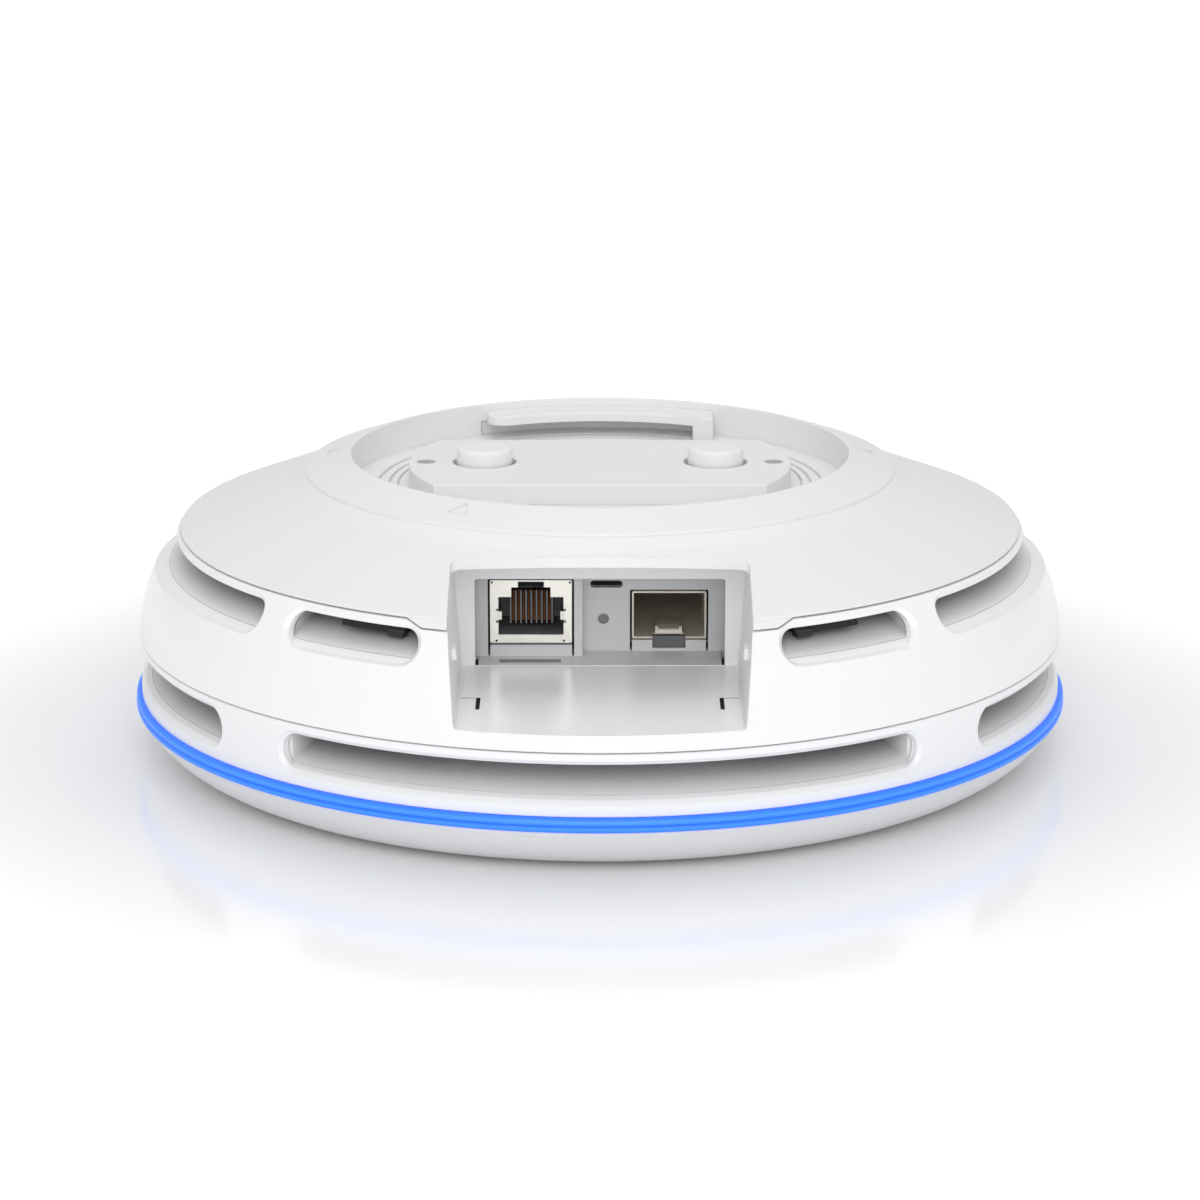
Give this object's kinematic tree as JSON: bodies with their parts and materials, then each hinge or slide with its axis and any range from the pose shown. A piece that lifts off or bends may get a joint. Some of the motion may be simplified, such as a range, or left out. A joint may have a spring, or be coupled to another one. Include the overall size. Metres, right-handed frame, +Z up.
{
  "type": "ceiling access point",
  "caption": "Disc-shaped wireless access point with light ring, side vents, round bayonet mounting collar and a recessed port bay for a network plug and an optical module.",
  "frame": {"origin": "centre of the radome's flat underside, on the surface it stands on", "axes": "+Z up along the centre line towards the mounting collar, -Y towards the port bay, +X to the right seen from the port bay"},
  "size_m": [0.1908, 0.1908, 0.0612],
  "materials": {
    "radome_white": "smooth satin white",
    "light_blue": "translucent blue light pipe, smooth",
    "shell_white": "satin white",
    "panel_white": "fine matt white",
    "cover_white": "fine matt white",
    "duct_white": "satin white",
    "plunger_white": "satin white",
    "black_plastic": "matt black",
    "seal_rubber": "matt black rubber",
    "button_grey": "matt grey",
    "tinned_sheet": "plated sheet steel, slightly warm",
    "gold_contact": "gold flash over spring metal",
    "spring_steel": "drawn wire",
    "screw_steel": "zinc-plated",
    "cast_aluminium": "as-cast matt",
    "sheet_aluminium": "mill finish",
    "board_green": "solder mask over fibreglass laminate",
    "chip_black": "moulded epoxy",
    "thermal_grey": "soft grey pad",
    "led_white": "clear over phosphor"
  },
  "bodies": {
    "body": {"antenna_board": "board_green", "antenna_patches": "gold_contact", "antenna_screws": "screw_steel", "antenna_standoffs": "screw_steel", "bay_bracket": "black_plastic", "board_connector": "black_plastic", "board_screws": "screw_steel", "bottom_cover": "radome_white", "connector_panel": "panel_white", "core_housing": "cast_aluminium", "core_seal": "seal_rubber", "cover_screws": "screw_steel", "filter_capacitors": "chip_black", "ground_plate": "sheet_aluminium", "led_board": "board_green", "light_ring": "light_blue", "lower_duct": "duct_white", "lower_shell": "shell_white", "main_board": "board_green", "main_processor": "chip_black", "memory_chips": "chip_black", "middle_shell": "shell_white", "mount_plate": "cover_white", "network_magnetics": "black_plastic", "plate_screws": "screw_steel", "plunger_guides": "black_plastic", "plunger_spring_left": "spring_steel", "plunger_spring_right": "spring_steel", "port_bezel": "shell_white", "port_seal": "seal_rubber", "power_transformer": "chip_black", "reset_switch": "black_plastic", "ring_leds": "led_white", "rj45_contacts": "gold_contact", "rj45_insert": "black_plastic", "rj45_shield": "tinned_sheet", "sfp_cage": "tinned_sheet", "sfp_connector": "black_plastic", "sfp_contacts": "gold_contact", "sfp_latch_leaf": "tinned_sheet", "shield_cans": "tinned_sheet", "thermal_pads": "thermal_grey", "top_cover": "cover_white", "upper_duct": "duct_white"},
    "plunger_left": {"lock_plunger_left": "plunger_white"},
    "plunger_right": {"lock_plunger_right": "plunger_white"},
    "button": {"reset_button": "button_grey"}
  },
  "joints": [
    {"name": "lock_plunger_left_press", "type": "slide", "parent": "body", "child": "plunger_left", "axis": [0, 0, -1], "range_m": [0, 0.003], "stiffness_N_per_m": 800, "springref_m": -0.0015, "deforming": ["plunger_spring_left"]},
    {"name": "lock_plunger_right_press", "type": "slide", "parent": "body", "child": "plunger_right", "axis": [0, 0, -1], "range_m": [0, 0.003], "stiffness_N_per_m": 800, "springref_m": -0.0015, "deforming": ["plunger_spring_right"]},
    {"name": "reset_button_press", "type": "slide", "parent": "body", "child": "button", "axis": [0, 1, 0], "range_m": [0, 0.0004], "stiffness_N_per_m": 2000, "springref_m": -0.0002}
  ]
}
